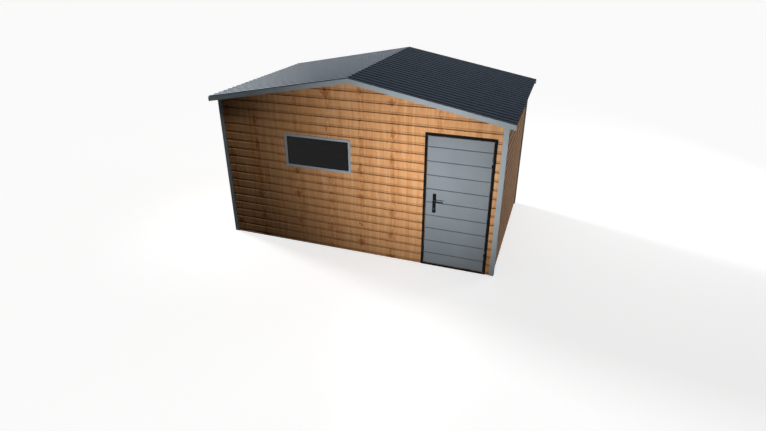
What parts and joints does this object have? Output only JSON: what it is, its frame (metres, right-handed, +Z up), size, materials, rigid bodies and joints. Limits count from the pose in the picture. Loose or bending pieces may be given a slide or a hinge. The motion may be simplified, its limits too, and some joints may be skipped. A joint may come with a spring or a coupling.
{
  "type": "gable roof garden shed",
  "caption": "Gable roof garden shed of ribbed steel sheet on a tube frame, with a hinged steel door, a lever handle and a fixed window.",
  "frame": {"origin": "middle of the plan under the roof, on the ground", "axes": "+X to the door's side along the front, +Y from the front to the back, +Z up"},
  "size_m": [4.208, 2.69, 2.5188],
  "materials": {
    "wood_look_sheet": "satin",
    "roof_sheet": "satin",
    "trim_steel": "satin",
    "frame_tube": "zinc coated",
    "window_profile": "satin",
    "window_glass": "clear",
    "black_steel": "satin",
    "door_steel": "satin",
    "black_handle": "satin",
    "lock_brass": "nickel plated"
  },
  "bodies": {
    "root": {"front_wall_left": "wood_look_sheet", "front_wall_under_window": "wood_look_sheet", "front_wall_over_window": "wood_look_sheet", "front_wall_middle": "wood_look_sheet", "front_wall_over_door": "wood_look_sheet", "front_wall_right": "wood_look_sheet", "left_wall": "wood_look_sheet", "right_wall": "wood_look_sheet", "back_wall": "wood_look_sheet", "door_stops": "wood_look_sheet", "roof_sheet_left": "roof_sheet", "roof_sheet_right": "roof_sheet", "verge_trim_front_left": "trim_steel", "verge_trim_front_right": "trim_steel", "verge_trim_back_left": "trim_steel", "verge_trim_back_right": "trim_steel", "corner_trim_front_left": "trim_steel", "corner_trim_front_right": "trim_steel", "corner_trim_back_left": "trim_steel", "corner_trim_back_right": "trim_steel", "corner_posts": "frame_tube", "base_rails": "frame_tube", "eave_rails": "frame_tube", "gable_ties": "frame_tube", "gable_rafters": "frame_tube", "roof_purlins": "frame_tube", "wall_studs": "frame_tube", "window_rails": "frame_tube", "window_frame": "window_profile", "window_bead": "window_profile", "window_pane": "window_glass", "door_jamb_left": "black_steel", "door_jamb_right": "black_steel", "door_head": "black_steel", "door_sill": "black_steel", "hinge_pins": "black_steel"},
    "door": {"door_skin": "door_steel", "door_stiles": "door_steel", "door_rails": "door_steel", "door_lock_box": "door_steel", "hinge_knuckles": "black_steel", "handle_plates": "black_handle", "lock_cylinder": "lock_brass"},
    "door_lever": {"lever_outside": "black_handle", "lever_inside": "black_handle"}
  },
  "joints": [
    {"name": "door_hinge", "type": "hinge", "parent": "root", "child": "door", "pos_m": [1.86175, -1.267, 0.95], "axis": [0, 0, 1], "range_deg": [0, 180]},
    {"name": "lever_turn", "type": "hinge", "parent": "door", "child": "door_lever", "pos_m": [1.1545, -1.2345, 0.992], "axis": [0, 1, 0], "range_deg": [0, 45], "stiffness_Nm_per_rad": 1.2, "springref_deg": -20.05}
  ]
}
